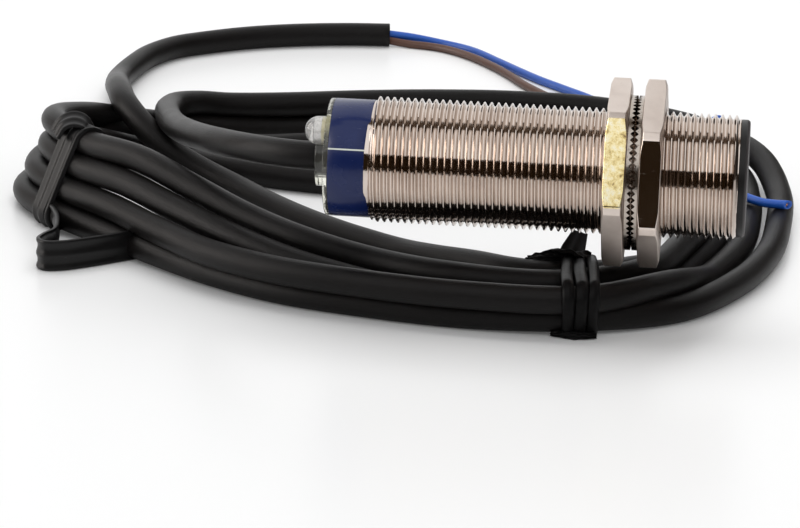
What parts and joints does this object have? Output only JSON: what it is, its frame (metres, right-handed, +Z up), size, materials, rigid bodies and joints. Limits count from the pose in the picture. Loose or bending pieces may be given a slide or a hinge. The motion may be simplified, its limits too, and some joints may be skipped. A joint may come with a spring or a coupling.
{
  "type": "inductive proximity sensor",
  "caption": "Cylindrical threaded inductive proximity sensor with hexagon nuts, toothed lock washers, rear indicator light and a coiled two-core cable with bare ends.",
  "frame": {"origin": "centre of the flat sensing face, on the barrel axis", "axes": "+X out of the sensing face along the barrel, +Z up, away from the floor the cable lies on, +Y towards the back of the cable coil"},
  "size_m": [0.1217, 0.1718, 0.0357],
  "materials": {
    "nickel_barrel": "nickel-plated brass, satin, with a fine helical thread",
    "nickel_nut": "nickel-plated brass, satin flats with a faint grain",
    "nickel_washer": "nickel-plated spring steel with a crown of sharp teeth",
    "black_cap": "moulded black PPS, fine matt",
    "blue_label": "navy blue printed band, satin, with a bare white seam",
    "clear_cap": "clear moulded polycarbonate, slightly yellow",
    "clear_lens": "clear cast epoxy lens",
    "tinned_wire": "bright tinned wire",
    "ferrite": "dark grey sintered ferrite",
    "bobbin_nylon": "natural nylon",
    "copper": "enamelled copper wire",
    "board_green": "green solder mask on glass epoxy",
    "chip_black": "moulded black epoxy",
    "chip_tan": "tan ceramic",
    "resin": "cast potting resin",
    "jacket_black": "black PVC jacket, satin",
    "core_blue": "blue PVC insulation, satin",
    "core_brown": "brown PVC insulation, satin",
    "tie_black": "ribbed black plastic twist tie"
  },
  "bodies": {
    "root": {"front_cap": "black_cap", "barrel": "nickel_barrel", "label_band": "blue_label", "rear_cap": "clear_cap", "led_lens": "clear_lens", "led_leads": "tinned_wire", "ferrite_core": "ferrite", "coil_bobbin": "bobbin_nylon", "coil_winding": "copper", "coil_leads": "copper", "circuit_board": "board_green", "oscillator_chip": "chip_black", "output_transistor": "chip_black", "capacitors": "chip_tan", "resistors": "chip_black", "board_wires": "core_blue", "potting": "resin", "cable_lead": "jacket_black", "cable_coil": "jacket_black", "cable_chord": "jacket_black", "cable_tail": "jacket_black", "core_blue": "core_blue", "core_brown": "core_brown", "left_tie": "tie_black", "right_tie": "tie_black"},
    "front_washer": {"front_washer": "nickel_washer"},
    "front_nut": {"front_nut": "nickel_nut"},
    "rear_washer": {"rear_washer": "nickel_washer"},
    "rear_nut": {"rear_nut": "nickel_nut"}
  },
  "joints": [
    {"name": "front_washer_travel", "type": "slide", "parent": "root", "child": "front_washer", "axis": [1, 0, 0], "range_m": [0, 0.01061]},
    {"name": "front_nut_turn", "type": "hinge", "parent": "front_washer", "child": "front_nut", "pos_m": [-0.0135, 0, 0], "axis": [1, 0, 0], "range_deg": [0, 3816]},
    {"name": "rear_washer_travel", "type": "slide", "parent": "root", "child": "rear_washer", "axis": [1, 0, 0], "range_m": [-0.03251, 0]},
    {"name": "rear_nut_turn", "type": "hinge", "parent": "rear_washer", "child": "rear_nut", "pos_m": [-0.0185, 0, 0], "axis": [1, 0, 0], "range_deg": [-11700, 0]}
  ],
  "couplings": [
    {"joint": "front_washer_travel", "follows": "front_nut_turn", "m_per_rad": 0.00015915},
    {"joint": "rear_washer_travel", "follows": "rear_nut_turn", "m_per_rad": 0.00015915}
  ]
}
